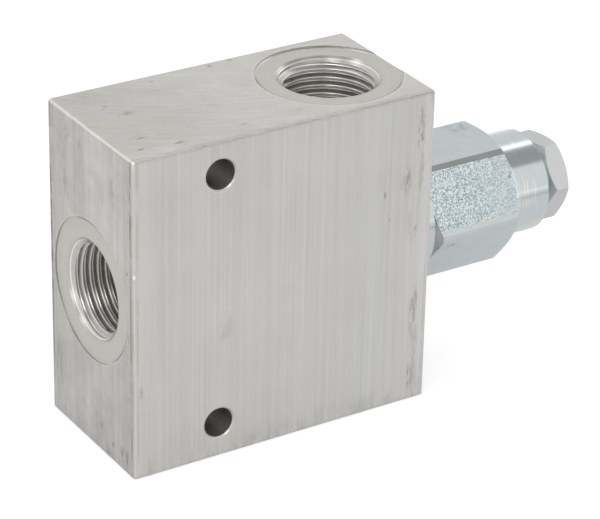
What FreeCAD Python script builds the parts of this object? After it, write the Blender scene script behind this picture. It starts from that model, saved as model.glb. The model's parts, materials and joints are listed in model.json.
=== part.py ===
import FreeCAD, Part
import math
import os

# Counterbalance valve: a screw-in cartridge in a drawn aluminium block.
# Millimetres. The origin is the centre of the block's base, +Z is up and +X runs along the
# cartridge, from its nose in the block to its adjusting screw.
# Bores that carry a thread are drawn at the thread's major radius.

# Block: a bar 70 by 35, sawn to its height
block_length = 70.0
block_depth = 35.0
block_height = 70.4
bar_edge_radius = 0.7
sawn_edge_break = 0.3
axis_height = 35.2

# Two through holes for M6 mounting screws
mount_hole_radius = 3.3
mount_hole_chamfer = 0.2
mount_hole_inset = 19.64
mount_hole_height = 7.73
mount_hole_pitch = 55.66

# G 1/2 ports for load (left end) and valve (top)
port_thread_radius = 10.478
port_thread_depth = 15.0
port_drill_radius = 9.3
port_drill_depth = 17.0
port_mouth_radius = 10.9
port_spotface_radius = 15.35
port_spotface_depth = 0.35
valve_port_inset = 14.6
valve_drilling_radius = 3.5

# G 1/4 port for the pilot line, in the base
pilot_thread_radius = 6.579
pilot_thread_depth = 10.5
pilot_drill_radius = 5.7
pilot_drill_depth = 12.0
pilot_mouth_radius = 6.9
pilot_spotface_radius = 10.5
pilot_spotface_depth = 0.35
pilot_port_inset = 11.0
pilot_drilling_radius = 1.4
drill_point_angle = 118.0

# Stepped cavity for the cartridge, in the right end of the block
seal_seat_radius = 12.4
seal_seat_depth = 2.3
pilot_annulus_length = 2.7
shank_thread_length = 7.0
body_land_length = 5.0
body_land_radius = 9.7
valve_annulus_length = 9.0
cage_land_length = 7.0
cage_land_radius = 8.7
load_passage_radius = 6.5

# Cartridge body, outside
hex_flats = 27.0
hex_corner_radius = 15.15
hex_face_radius = 13.5
hex_length = 21.3
hex_turn = 25.9
hex_chamfer_angle = 35.0
collar_radius = 13.6
collar_length = 4.1
collar_edge_break = 0.3
neck_radius = 9.6
shank_thread_radius = 11.0
thread_end_chamfer = 0.9
pilot_hole_radius = 0.9
pilot_hole_count = 4

# Cartridge body, inside
cage_socket_depth = 3.4
cage_socket_radius = 7.65
stem_guide_length = 7.0
piston_bore_radius = 6.25
piston_bore_reach = 1.6
spring_chamber_radius = 8.2

# Cage
cage_waist_radius = 7.9
cage_flow_radius = 5.4
cage_seat_bore_radius = 6.4
valve_hole_radius = 1.8
valve_hole_count = 6
stop_shoulder_depth = 6.5
nose_chamfer = 0.6

# Floating seat, its spring and its ring
seat_length = 4.0
seat_bore_radius = 3.4
seat_cone_depth = 1.2
check_spring_room = 4.0
check_wire_radius = 0.4
check_spring_half_turns = 5
nose_ring_thickness = 0.9
nose_ring_groove_radius = 7.1
nose_ring_inner_radius = 5.0
nose_ring_opening = 5.0

# Relief poppet and pilot piston
stem_radius = 3.0
poppet_head_radius = 4.4
poppet_tip_radius = 2.4
poppet_rim_length = 0.8
piston_length = 5.0
piston_spigot_radius = 2.5
chamber_length = 3.5

# Springs' seats and the main spring
lower_seat_thickness = 1.8
lower_seat_radius = 7.8
spring_spigot_radius = 3.9
spring_spigot_length = 2.0
main_spring_length = 19.5
main_spring_radius = 5.5
main_wire_radius = 1.1
main_spring_half_turns = 12
upper_seat_length = 5.0

# Spring cap
cap_thread_radius = 10.0
cap_thread_length = 8.8
cap_neck_radius = 9.3
cap_neck_length = 2.0
cap_seal_seat_radius = 11.0
cap_seal_seat_depth = 1.7
cap_flange_radius = 12.6
cap_flange_thickness = 0.9
cap_barrel_radius = 11.1
cap_barrel_length = 9.7
cap_barrel_chamfer = 0.7
cap_bore_radius = 7.65
cap_end_wall = 5.0

# Adjusting screw, bonded seal and locknut, M10
screw_radius = 5.0
screw_tip_radius = 3.6
screw_end_chamfer = 0.8
screw_protrusion = 1.5
socket_flats = 5.0
socket_depth = 5.0
washer_radius = 8.0
washer_bore_radius = 6.2
washer_thickness = 1.6
lip_recess = 0.15
locknut_flats = 17.0
locknut_face_radius = 8.1
locknut_thickness = 5.0
locknut_turn = 33.0
locknut_countersink = 0.5
nut_chamfer_angle = 30.0

# Seals: depth of each groove and width of its O-ring and backup rings
body_groove_depth = 1.7
body_groove_inset = 1.4
body_backup_width = 1.0
cage_groove_depth = 1.35
cage_groove_inset = 1.9
cage_backup_width = 0.9
cage_backup_count = 2
stem_groove_depth = 1.6
stem_backup_width = 1.0
piston_groove_depth = 1.55
adjuster_groove_depth = 1.65

# Clearances
thread_gap = 0.05
running_gap = 0.03
land_gap = 0.05
seal_gap = 0.04
seat_gap = 0.03

# Stations along X
face_x = block_length / 2
left_x = -block_length / 2
annulus_x = face_x - seal_seat_depth
thread_x = annulus_x - pilot_annulus_length
thread_end_x = thread_x - shank_thread_length
body_end_x = thread_end_x - body_land_length
cage_land_x = body_end_x - valve_annulus_length
nose_x = cage_land_x - cage_land_length
cage_start_x = body_end_x + cage_socket_depth
guide_start_x = cage_start_x
chamber_x = guide_start_x + stem_guide_length
stop_x = body_end_x - stop_shoulder_depth
seat_nose_x = stop_x - seat_length
ring_x = seat_nose_x - check_spring_room
hex_x = face_x + collar_length
hex_end_x = hex_x + hex_length
chamber_floor_x = face_x + piston_bore_reach
piston_x = chamber_x + chamber_length
lower_seat_x = piston_x + piston_length
spring_x = lower_seat_x + lower_seat_thickness
upper_seat_x = spring_x + main_spring_length
screw_x = upper_seat_x + upper_seat_length
cap_start_x = hex_end_x - cap_thread_length
barrel_x = hex_end_x + cap_flange_thickness
cap_end_x = barrel_x + cap_barrel_length
nut_x = cap_end_x + washer_thickness
nut_end_x = nut_x + locknut_thickness

X_AXIS = FreeCAD.Vector(1, 0, 0)
Y_AXIS = FreeCAD.Vector(0, 1, 0)
Z_AXIS = FreeCAD.Vector(0, 0, 1)
cartridge_origin = FreeCAD.Vector(0, 0, axis_height)
overcut = 1.0


def spun(profile, origin, direction):
    """Revolve a closed outline of (distance along the axis, radius) points."""
    points = [FreeCAD.Vector(radius, 0, along) for along, radius in profile]
    face = Part.Face(Part.makePolygon(points + points[:1]))
    solid = face.revolve(FreeCAD.Vector(), Z_AXIS, 360)
    solid.Placement = FreeCAD.Placement(origin, FreeCAD.Rotation(Z_AXIS, direction))
    return solid


def turned(profile):
    """Turn an outline of (x, radius) points about the cartridge's axis."""
    return spun(profile, cartridge_origin, X_AXIS)


def tube(start_x, end_x, outer, inner=0.0):
    """A plain ring or disc on the cartridge's axis."""
    return turned([(start_x, inner), (start_x, outer), (end_x, outer), (end_x, inner)])


def o_ring(start_x, end_x, inner, outer):
    """A round-section ring that fills a groove, between its ends and its two radii."""
    section = min(end_x - start_x, outer - inner) / 2 - seal_gap
    middle = cartridge_origin + X_AXIS * (start_x + end_x) / 2
    return Part.makeTorus((inner + outer) / 2, section, middle, X_AXIS)


def cone_depth(radius_step, angle):
    """Axial length of a turned chamfer, its angle measured from the end face."""
    return radius_step * math.tan(math.radians(angle))


def radial_holes(middle_x, radius, reach, count):
    """Evenly spaced drillings from the cartridge's axis outwards."""
    middle = cartridge_origin + X_AXIS * middle_x
    holes = []
    for index in range(count):
        angle = 2 * math.pi * index / count
        direction = FreeCAD.Vector(0, math.sin(angle), math.cos(angle))
        holes.append(Part.makeCylinder(radius, reach, middle, direction))
    return holes


def hexagon(start_x, end_x, flats, turn):
    """A hexagonal bar on the axis; turn is a flat's angle up from the front."""
    corner = flats / math.sqrt(3)
    points = []
    for index in range(6):
        angle = math.radians(turn + 30 + 60 * index)
        across = -corner * math.cos(angle)
        up = corner * math.sin(angle)
        points.append(FreeCAD.Vector(start_x, across, axis_height + up))
    face = Part.Face(Part.makePolygon(points + points[:1]))
    return face.extrude(X_AXIS * (end_x - start_x))


def hex_blank(start_x, end_x, corner_radius, face_radius, angle):
    """The turned form of a nut: a cylinder with a shallow cone at each end."""
    slope = cone_depth(corner_radius - face_radius, angle)
    return turned([
        (start_x, 0), (start_x, face_radius), (start_x + slope, corner_radius),
        (end_x - slope, corner_radius), (end_x, face_radius), (end_x, 0),
    ])


def drilled(start, end, radius):
    """A straight drilling between two points."""
    run = end - start
    return Part.makeCylinder(radius, run.Length, start, run)


def drill_point(radius):
    """Length of a twist drill's cone."""
    return radius / math.tan(math.radians(drill_point_angle / 2))


def port_cutter(mouth, inward, spotface, mouth_radius, thread, drill):
    """Spotface, 45 degree mouth, threaded bore and drilled bottom of a port."""
    spotface_radius, spotface_depth = spotface
    thread_radius, thread_depth = thread
    drill_radius, drill_depth = drill
    thread_start = spotface_depth + mouth_radius - thread_radius
    thread_end = spotface_depth + thread_depth
    drill_end = spotface_depth + drill_depth
    return spun([
        (-overcut, 0), (-overcut, spotface_radius), (spotface_depth, spotface_radius),
        (spotface_depth, mouth_radius), (thread_start, thread_radius),
        (thread_end, thread_radius), (thread_end, drill_radius), (drill_end, drill_radius),
        (drill_end + drill_point(drill_radius), 0),
    ], mouth, inward)


def main_port(mouth, inward):
    """The cutter of a G 1/2 port."""
    return port_cutter(
        mouth, inward,
        (port_spotface_radius, port_spotface_depth),
        port_mouth_radius,
        (port_thread_radius, port_thread_depth),
        (port_drill_radius, port_drill_depth),
    )


def pilot_port(mouth, inward):
    """The cutter of the G 1/4 port."""
    return port_cutter(
        mouth, inward,
        (pilot_spotface_radius, pilot_spotface_depth),
        pilot_mouth_radius,
        (pilot_thread_radius, pilot_thread_depth),
        (pilot_drill_radius, pilot_drill_depth),
    )


def cavity():
    """The stepped bore that takes the cartridge."""
    return turned([
        (face_x + overcut, 0), (face_x + overcut, seal_seat_radius),
        (annulus_x, seal_seat_radius), (annulus_x, shank_thread_radius + thread_gap),
        (thread_end_x, shank_thread_radius + thread_gap),
        (thread_end_x, body_land_radius + land_gap),
        (cage_land_x, body_land_radius + land_gap),
        (cage_land_x, cage_land_radius + land_gap),
        (nose_x - overcut, cage_land_radius + land_gap),
        (nose_x - overcut - drill_point(cage_land_radius), 0),
    ])


def mount_hole(height):
    """A through hole with its mouths broken."""
    front = -block_depth / 2
    back = block_depth / 2
    flare = mount_hole_radius + mount_hole_chamfer + overcut
    origin = FreeCAD.Vector(left_x + mount_hole_inset, 0, height)
    return spun([
        (front - overcut, 0), (front - overcut, flare),
        (front + mount_hole_chamfer, mount_hole_radius),
        (back - mount_hole_chamfer, mount_hole_radius),
        (back + overcut, flare), (back + overcut, 0),
    ], origin, Y_AXIS)


def bar():
    """The sawn piece of drawn bar: rounded uprights and broken sawn edges."""
    corner = FreeCAD.Vector(left_x, -block_depth / 2, 0)
    blank = Part.makeBox(block_length, block_depth, block_height, corner)
    uprights = [edge for edge in blank.Edges if edge.BoundBox.ZLength > block_height / 2]
    blank = blank.makeFillet(bar_edge_radius, uprights)
    rims = [edge for edge in blank.Edges if edge.BoundBox.ZLength < sawn_edge_break / 2]
    return blank.makeChamfer(sawn_edge_break, rims)


def valve_block():
    """The block with its ports, cavity, drillings and mounting holes."""
    load_mouth = FreeCAD.Vector(left_x, 0, axis_height)
    valve_x = face_x - valve_port_inset
    valve_mouth = FreeCAD.Vector(valve_x, 0, block_height)
    pilot_x = face_x - pilot_port_inset
    pilot_mouth = FreeCAD.Vector(pilot_x, 0, 0)
    load_floor = FreeCAD.Vector(left_x + port_spotface_depth + port_drill_depth, 0, axis_height)
    valve_floor = valve_mouth - Z_AXIS * (port_spotface_depth + port_drill_depth)
    pilot_floor = pilot_mouth + Z_AXIS * (pilot_spotface_depth + pilot_drill_depth)
    valve_annulus_x = body_end_x - valve_annulus_length / 2
    pilot_annulus_x = annulus_x - pilot_annulus_length / 2
    cutters = [
        main_port(load_mouth, X_AXIS),
        main_port(valve_mouth, -Z_AXIS),
        pilot_port(pilot_mouth, Z_AXIS),
        cavity(),
        drilled(load_floor, FreeCAD.Vector(nose_x, 0, axis_height), load_passage_radius),
        drilled(
            valve_floor,
            FreeCAD.Vector(valve_annulus_x, 0, axis_height + cage_waist_radius),
            valve_drilling_radius,
        ),
        drilled(
            pilot_floor,
            FreeCAD.Vector(pilot_annulus_x, 0, axis_height - neck_radius),
            pilot_drilling_radius,
        ),
        mount_hole(mount_hole_height),
        mount_hole(mount_hole_height + mount_hole_pitch),
    ]
    return bar().cut(cutters)


def body_outside():
    """Shank, neck, collar and hexagon of the cartridge body."""
    groove_radius = body_land_radius - body_groove_depth
    groove_x, groove_end_x = body_groove()
    shank = turned([
        (body_end_x, 0), (body_end_x, body_land_radius), (groove_x, body_land_radius),
        (groove_x, groove_radius), (groove_end_x, groove_radius),
        (groove_end_x, body_land_radius), (thread_end_x, body_land_radius),
        (thread_end_x + thread_end_chamfer, shank_thread_radius),
        (thread_x, shank_thread_radius), (thread_x, neck_radius), (face_x, neck_radius),
        (face_x, collar_radius - collar_edge_break),
        (face_x + collar_edge_break, collar_radius), (hex_x, collar_radius), (hex_x, 0),
    ])
    blank = hex_blank(hex_x, hex_end_x, hex_corner_radius, hex_face_radius, hex_chamfer_angle)
    return shank.fuse(blank.common(hexagon(hex_x, hex_end_x, hex_flats, hex_turn)))


def body_groove():
    """Ends of the groove on the body's land, for an O-ring and a backup ring."""
    start = body_end_x + body_groove_inset
    return start, start + body_groove_depth + land_gap + body_backup_width + seal_gap


def stem_groove():
    """Ends of the groove in the stem's guide, for an O-ring and a backup ring."""
    width = stem_groove_depth + stem_backup_width + seal_gap
    middle = guide_start_x + stem_guide_length / 2
    return middle - width / 2, middle + width / 2


def body_inside():
    """Everything bored out of the cartridge body."""
    guide_radius = stem_radius + running_gap
    groove_x, groove_end_x = stem_groove()
    seal_x = hex_end_x - cap_seal_seat_depth
    cap_thread = cap_thread_radius + thread_gap
    return turned([
        (body_end_x - overcut, 0), (body_end_x - overcut, cage_socket_radius),
        (cage_start_x, cage_socket_radius), (cage_start_x, guide_radius),
        (groove_x, guide_radius), (groove_x, stem_radius + stem_groove_depth),
        (groove_end_x, stem_radius + stem_groove_depth), (groove_end_x, guide_radius),
        (chamber_x, guide_radius), (chamber_x, piston_bore_radius),
        (chamber_floor_x, piston_bore_radius), (chamber_floor_x, spring_chamber_radius),
        (cap_start_x, spring_chamber_radius), (cap_start_x, cap_thread),
        (seal_x, cap_thread), (seal_x, cap_seal_seat_radius),
        (hex_end_x + overcut, cap_seal_seat_radius), (hex_end_x + overcut, 0),
    ])


def cartridge_body():
    """Hex body of the cartridge, with pilot holes through its neck."""
    pilot_hole_x = annulus_x - pilot_annulus_length / 2
    pilot_holes = radial_holes(
        pilot_hole_x, pilot_hole_radius, neck_radius + overcut, pilot_hole_count
    )
    return body_outside().cut([body_inside()] + pilot_holes)


def cage_groove():
    """Ends of the groove on the cage's land, for an O-ring and two backup rings."""
    start = nose_x + cage_groove_inset
    rings = cage_backup_count * (cage_backup_width + seal_gap)
    return start, start + cage_groove_depth + land_gap + rings


def cage():
    """Sleeve at the nose: spigot, waist with the valve holes, and sealed land."""
    spigot_radius = cage_socket_radius - land_gap
    groove_radius = cage_land_radius - cage_groove_depth
    groove_x, groove_end_x = cage_groove()
    outside = turned([
        (nose_x, 0), (nose_x, cage_land_radius - nose_chamfer),
        (nose_x + nose_chamfer, cage_land_radius), (groove_x, cage_land_radius),
        (groove_x, groove_radius), (groove_end_x, groove_radius),
        (groove_end_x, cage_land_radius), (cage_land_x, cage_land_radius),
        (cage_land_x, cage_waist_radius), (body_end_x, cage_waist_radius),
        (body_end_x, spigot_radius), (cage_start_x, spigot_radius), (cage_start_x, 0),
    ])
    inside = turned([
        (nose_x - overcut, 0), (nose_x - overcut, cage_seat_bore_radius),
        (ring_x - nose_ring_thickness - seal_gap, cage_seat_bore_radius),
        (ring_x - nose_ring_thickness - seal_gap, nose_ring_groove_radius),
        (ring_x, nose_ring_groove_radius), (ring_x, cage_seat_bore_radius),
        (stop_x, cage_seat_bore_radius), (stop_x, cage_flow_radius),
        (cage_start_x + overcut, cage_flow_radius), (cage_start_x + overcut, 0),
    ])
    valve_holes = radial_holes(
        body_end_x - stop_shoulder_depth / 2, valve_hole_radius,
        cage_waist_radius + overcut, valve_hole_count,
    )
    return outside.cut([inside] + valve_holes)


def check_seat():
    """Floating seat ring, its conical seat towards the poppet."""
    outer = cage_seat_bore_radius - running_gap
    return turned([
        (seat_nose_x, seat_bore_radius), (seat_nose_x, outer), (stop_x, outer),
        (stop_x, seat_bore_radius + seat_cone_depth),
        (stop_x - seat_cone_depth, seat_bore_radius),
    ])


def coil(start_x, end_x, mean_radius, wire_radius, half_turns):
    """Round wire wound round the cartridge's axis, one half turn joined to the next."""
    rise = (end_x - start_x) / half_turns
    helix = Part.makeHelix(2 * rise, rise, mean_radius)
    section = Part.Wire(Part.makeCircle(
        wire_radius, FreeCAD.Vector(mean_radius, 0, 0), Y_AXIS
    ))
    arc = Part.Wire(helix.Edges).makePipeShell([section], True, True)
    arcs = []
    for index in range(half_turns):
        turn = FreeCAD.Rotation(Z_AXIS, X_AXIS) * FreeCAD.Rotation(Z_AXIS, 180 * index)
        half = arc.copy()
        half.Placement = FreeCAD.Placement(
            cartridge_origin + X_AXIS * (start_x + rise * index), turn
        )
        arcs.append(half)
    return arcs[0].fuse(arcs[1:])


def check_spring():
    """Light spring under the floating seat, its ends left plain."""
    mean_radius = (cage_seat_bore_radius + seat_bore_radius) / 2 + check_wire_radius
    start_x = ring_x + check_wire_radius
    end_x = seat_nose_x - check_wire_radius
    return coil(start_x, end_x, mean_radius, check_wire_radius, check_spring_half_turns)


def nose_ring():
    """Open retaining ring in the cage's groove."""
    outer = nose_ring_groove_radius - seal_gap
    ring = tube(ring_x - nose_ring_thickness, ring_x, outer, nose_ring_inner_radius)
    corner = FreeCAD.Vector(
        ring_x - nose_ring_thickness - overcut, -nose_ring_opening / 2, axis_height - 2 * outer
    )
    slot = Part.makeBox(
        nose_ring_thickness + 2 * overcut, nose_ring_opening, 2 * outer, corner
    )
    return ring.cut(slot)


def relief_poppet():
    """Cone, stem and threaded end of the poppet, as one turned piece."""
    seat_mouth_radius = seat_bore_radius + seat_cone_depth
    cone_apex_x = stop_x - seat_mouth_radius + seat_gap * math.sqrt(2)
    tip_x = cone_apex_x + poppet_tip_radius
    cone_end_x = cone_apex_x + poppet_head_radius
    rim_x = cone_end_x + poppet_rim_length
    return turned([
        (tip_x, 0), (tip_x, poppet_tip_radius), (cone_end_x, poppet_head_radius),
        (rim_x, poppet_head_radius), (rim_x + poppet_head_radius - stem_radius, stem_radius),
        (piston_x, stem_radius), (piston_x, piston_spigot_radius),
        (lower_seat_x, piston_spigot_radius), (lower_seat_x, 0),
    ])


def piston_groove():
    """Ends of the groove round the pilot piston."""
    middle = piston_x + piston_length / 2
    return middle - piston_groove_depth / 2, middle + piston_groove_depth / 2


def pilot_piston():
    """Piston that the pilot pressure pushes, screwed on the poppet's end."""
    outer = piston_bore_radius - running_gap
    groove_radius = piston_bore_radius - piston_groove_depth
    groove_x, groove_end_x = piston_groove()
    return turned([
        (piston_x, piston_spigot_radius), (piston_x, outer), (groove_x, outer),
        (groove_x, groove_radius), (groove_end_x, groove_radius), (groove_end_x, outer),
        (lower_seat_x, outer), (lower_seat_x, piston_spigot_radius),
    ])


def lower_spring_seat():
    """Disc between piston and spring, with a spigot inside the spring."""
    spigot_x = spring_x + spring_spigot_length
    return turned([
        (lower_seat_x, 0), (lower_seat_x, lower_seat_radius), (spring_x, lower_seat_radius),
        (spring_x, spring_spigot_radius), (spigot_x, spring_spigot_radius), (spigot_x, 0),
    ])


def main_spring():
    """The setting spring, wound past both ends by a half turn and ground flat."""
    rise = main_spring_length / main_spring_half_turns
    wound = coil(
        spring_x - rise, upper_seat_x + rise, main_spring_radius, main_wire_radius,
        main_spring_half_turns + 2,
    )
    return wound.common(tube(spring_x, upper_seat_x, lower_seat_radius))


def adjuster_groove():
    """Ends of the groove round the upper spring seat."""
    middle = upper_seat_x + upper_seat_length / 2
    return middle - adjuster_groove_depth / 2, middle + adjuster_groove_depth / 2


def upper_spring_seat():
    """Sealed seat that the adjusting screw pushes along the cap's bore."""
    outer = cap_bore_radius - running_gap
    groove_radius = cap_bore_radius - adjuster_groove_depth
    groove_x, groove_end_x = adjuster_groove()
    spigot_x = upper_seat_x - spring_spigot_length
    return turned([
        (spigot_x, 0), (spigot_x, spring_spigot_radius), (upper_seat_x, spring_spigot_radius),
        (upper_seat_x, outer), (groove_x, outer), (groove_x, groove_radius),
        (groove_end_x, groove_radius), (groove_end_x, outer), (screw_x, outer), (screw_x, 0),
    ])


def spring_cap():
    """Cap screwed into the hex body: threaded shank, thin flange and barrel."""
    screw_bore = screw_radius + thread_gap
    neck_x = hex_end_x - cap_neck_length
    wall_x = cap_end_x - cap_end_wall
    return turned([
        (cap_start_x, cap_bore_radius), (cap_start_x, cap_thread_radius - thread_end_chamfer),
        (cap_start_x + thread_end_chamfer, cap_thread_radius), (neck_x, cap_thread_radius),
        (neck_x, cap_neck_radius), (hex_end_x, cap_neck_radius),
        (hex_end_x, cap_flange_radius), (barrel_x, cap_flange_radius),
        (barrel_x, cap_barrel_radius), (cap_end_x - cap_barrel_chamfer, cap_barrel_radius),
        (cap_end_x, cap_barrel_radius - cap_barrel_chamfer), (cap_end_x, screw_bore),
        (wall_x, screw_bore), (wall_x, cap_bore_radius),
    ])


def adjusting_screw():
    """Set screw with a hexagon socket in its outer end."""
    end_x = nut_end_x + screw_protrusion
    tip_length = screw_radius - screw_tip_radius
    stud = turned([
        (screw_x, 0), (screw_x, screw_tip_radius), (screw_x + tip_length, screw_radius),
        (end_x - screw_end_chamfer, screw_radius),
        (end_x, screw_radius - screw_end_chamfer), (end_x, 0),
    ])
    socket_corner = socket_flats / math.sqrt(3)
    countersink = turned([
        (end_x + overcut, 0), (end_x + overcut, socket_corner + overcut),
        (end_x - socket_corner, 0),
    ])
    socket = hexagon(end_x - socket_depth, end_x + overcut, socket_flats, 0)
    return stud.cut([socket, countersink])


def sealing_washer():
    """Metal ring of the bonded seal."""
    return tube(cap_end_x, nut_x, washer_radius, washer_bore_radius)


def sealing_lip():
    """Rubber lip inside the metal ring."""
    inner = screw_radius + thread_gap
    return turned([
        (cap_end_x, washer_bore_radius), (cap_end_x + lip_recess, inner),
        (nut_x - lip_recess, inner), (nut_x, washer_bore_radius),
    ])


def locknut():
    """Thin hexagon nut, chamfered on both faces."""
    bore = screw_radius + thread_gap
    blank = hex_blank(
        nut_x, nut_end_x, locknut_flats / math.sqrt(3), locknut_face_radius, nut_chamfer_angle
    )
    hole = turned([
        (nut_x - overcut, 0), (nut_x - overcut, bore + locknut_countersink + overcut),
        (nut_x + locknut_countersink, bore), (nut_end_x - locknut_countersink, bore),
        (nut_end_x + overcut, bore + locknut_countersink + overcut), (nut_end_x + overcut, 0),
    ])
    return blank.common(hexagon(nut_x, nut_end_x, locknut_flats, locknut_turn)).cut(hole)


def collar_seal():
    """O-ring in the mouth of the cavity, under the collar."""
    return o_ring(annulus_x, face_x, neck_radius, seal_seat_radius)


def cap_seal():
    """O-ring in the mouth of the hex body, under the cap's flange."""
    seat_x = hex_end_x - cap_seal_seat_depth
    return o_ring(seat_x, hex_end_x, cap_neck_radius, cap_seal_seat_radius)


def body_seal():
    """O-ring on the body's land."""
    groove_x, groove_end_x = body_groove()
    return o_ring(
        groove_x, groove_end_x - body_backup_width - seal_gap,
        body_land_radius - body_groove_depth, body_land_radius + land_gap,
    )


def body_backup_ring():
    """Backup ring beside the body's O-ring."""
    groove_end_x = body_groove()[1]
    inner = body_land_radius - body_groove_depth + seal_gap
    return tube(groove_end_x - body_backup_width, groove_end_x, body_land_radius, inner)


def cage_seal():
    """O-ring on the cage's land."""
    groove_x, groove_end_x = cage_groove()
    rings = cage_backup_count * (cage_backup_width + seal_gap)
    return o_ring(
        groove_x, groove_end_x - rings,
        cage_land_radius - cage_groove_depth, cage_land_radius + land_gap,
    )


def cage_backup_ring(number):
    """One of the backup rings beside the cage's O-ring."""
    step = cage_backup_width + seal_gap
    end_x = cage_groove()[1] - step * number
    inner = cage_land_radius - cage_groove_depth + seal_gap
    return tube(end_x - cage_backup_width, end_x, cage_land_radius, inner)


def stem_seal():
    """O-ring round the poppet's stem."""
    groove_x, groove_end_x = stem_groove()
    return o_ring(
        groove_x, groove_end_x - stem_backup_width - seal_gap,
        stem_radius, stem_radius + stem_groove_depth,
    )


def stem_backup_ring():
    """Backup ring beside the stem's O-ring."""
    groove_end_x = stem_groove()[1]
    outer = stem_radius + stem_groove_depth - seal_gap
    return tube(groove_end_x - stem_backup_width, groove_end_x, outer, stem_radius + running_gap)


def piston_seal():
    """O-ring round the pilot piston."""
    return o_ring(
        *piston_groove(), piston_bore_radius - piston_groove_depth, piston_bore_radius
    )


def adjuster_seal():
    """O-ring round the upper spring seat."""
    return o_ring(
        *adjuster_groove(), cap_bore_radius - adjuster_groove_depth, cap_bore_radius
    )


def all_parts():
    """Every piece by its node's name."""
    parts = {
        "valve_block": valve_block(),
        "cartridge_body": cartridge_body(),
        "cage": cage(),
        "check_seat": check_seat(),
        "check_spring": check_spring(),
        "nose_ring": nose_ring(),
        "relief_poppet": relief_poppet(),
        "pilot_piston": pilot_piston(),
        "piston_seal": piston_seal(),
        "stem_seal": stem_seal(),
        "stem_backup_ring": stem_backup_ring(),
        "lower_spring_seat": lower_spring_seat(),
        "main_spring": main_spring(),
        "upper_spring_seat": upper_spring_seat(),
        "adjuster_seal": adjuster_seal(),
        "spring_cap": spring_cap(),
        "adjusting_screw": adjusting_screw(),
        "sealing_washer": sealing_washer(),
        "sealing_lip": sealing_lip(),
        "locknut": locknut(),
        "collar_seal": collar_seal(),
        "cap_seal": cap_seal(),
        "body_seal": body_seal(),
        "body_backup_ring": body_backup_ring(),
        "cage_seal": cage_seal(),
    }
    for number in range(cage_backup_count):
        parts[f"cage_backup_ring_{number + 1}"] = cage_backup_ring(number)
    return parts


os.makedirs("parts", exist_ok=True)
for name, shape in all_parts().items():
    shape.exportStep(f"parts/{name}.step")
    print(f"{name}: {len(shape.Solids)} solid, {shape.Volume:.1f} mm3, valid {shape.isValid()}")
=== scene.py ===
import json
import math

import bmesh
import bpy
from mathutils import Matrix, Vector


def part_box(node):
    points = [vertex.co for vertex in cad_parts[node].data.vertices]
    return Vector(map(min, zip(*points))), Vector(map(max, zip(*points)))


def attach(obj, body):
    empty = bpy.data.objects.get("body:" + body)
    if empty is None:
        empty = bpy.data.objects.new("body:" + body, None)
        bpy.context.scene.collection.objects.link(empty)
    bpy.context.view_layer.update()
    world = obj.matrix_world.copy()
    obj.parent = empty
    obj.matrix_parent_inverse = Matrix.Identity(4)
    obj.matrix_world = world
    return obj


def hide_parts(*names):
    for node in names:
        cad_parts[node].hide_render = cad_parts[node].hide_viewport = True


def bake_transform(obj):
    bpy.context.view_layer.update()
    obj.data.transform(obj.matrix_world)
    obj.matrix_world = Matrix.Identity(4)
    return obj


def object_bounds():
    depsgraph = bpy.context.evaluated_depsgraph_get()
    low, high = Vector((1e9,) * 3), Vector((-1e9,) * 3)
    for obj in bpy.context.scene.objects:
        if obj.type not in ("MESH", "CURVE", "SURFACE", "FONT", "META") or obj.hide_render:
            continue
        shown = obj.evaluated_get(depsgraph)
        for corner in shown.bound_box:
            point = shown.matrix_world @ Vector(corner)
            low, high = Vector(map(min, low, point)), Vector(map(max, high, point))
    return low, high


bl_info = {
    "name": "Counterbalance valve",
    "version": (1, 0, 0),
    "blender": (4, 5, 0),
    "location": "View3D > Sidebar > Valve",
    "description": "Finishes, threads and studio for a counterbalance valve in its block",
    "category": "Object",
}

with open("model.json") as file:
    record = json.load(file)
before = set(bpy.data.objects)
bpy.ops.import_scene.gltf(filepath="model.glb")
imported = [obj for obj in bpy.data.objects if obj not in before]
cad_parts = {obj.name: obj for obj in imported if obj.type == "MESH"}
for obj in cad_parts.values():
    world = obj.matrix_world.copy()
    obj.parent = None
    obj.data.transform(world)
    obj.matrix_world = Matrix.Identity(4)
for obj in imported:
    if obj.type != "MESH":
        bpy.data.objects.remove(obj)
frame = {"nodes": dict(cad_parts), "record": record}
nodes = frame["nodes"]
mounts = {mount["name"]: mount for mount in frame["record"]["mounts"]}
cad_low, cad_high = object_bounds()

mm = 0.001
block_low, block_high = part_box("valve_block")
body_low, body_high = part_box("cartridge_body")
cap_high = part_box("spring_cap")[1]
screw_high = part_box("adjusting_screw")[1]
axis_z = (body_low.z + body_high.z) / 2

spotface_radius = 15.4 * mm
pilot_spotface_radius = 10.5 * mm
load, valve, pilot = [
    mounts[name]["pos_m"] for name in ("load_port", "valve_port", "pilot_port")
]
bolt_radius = mounts["mounting_holes"]["dims"]["hole_r_mm"] * mm
hex_start = 39.0 * mm
hex_reach = 13.5 * mm
etched_turn = math.radians(25.9)
barrel_length = 9.6 * mm

# A port thread's depth and rounding as shares of its pitch, and the points of its arcs
depth_share = 0.6403
curve_share = 0.1373
arc_points = [math.radians(degrees) for degrees in (-62.5, -42, -21, 0, 21, 42, 62.5)]

# How far a port's thread stays off the bore and short of its end, and off its own roots
bore_gap = 0.03 * mm
end_gap = 0.02 * mm
root_wall = 0.02 * mm

sharp_angle = math.radians(35)


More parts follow.
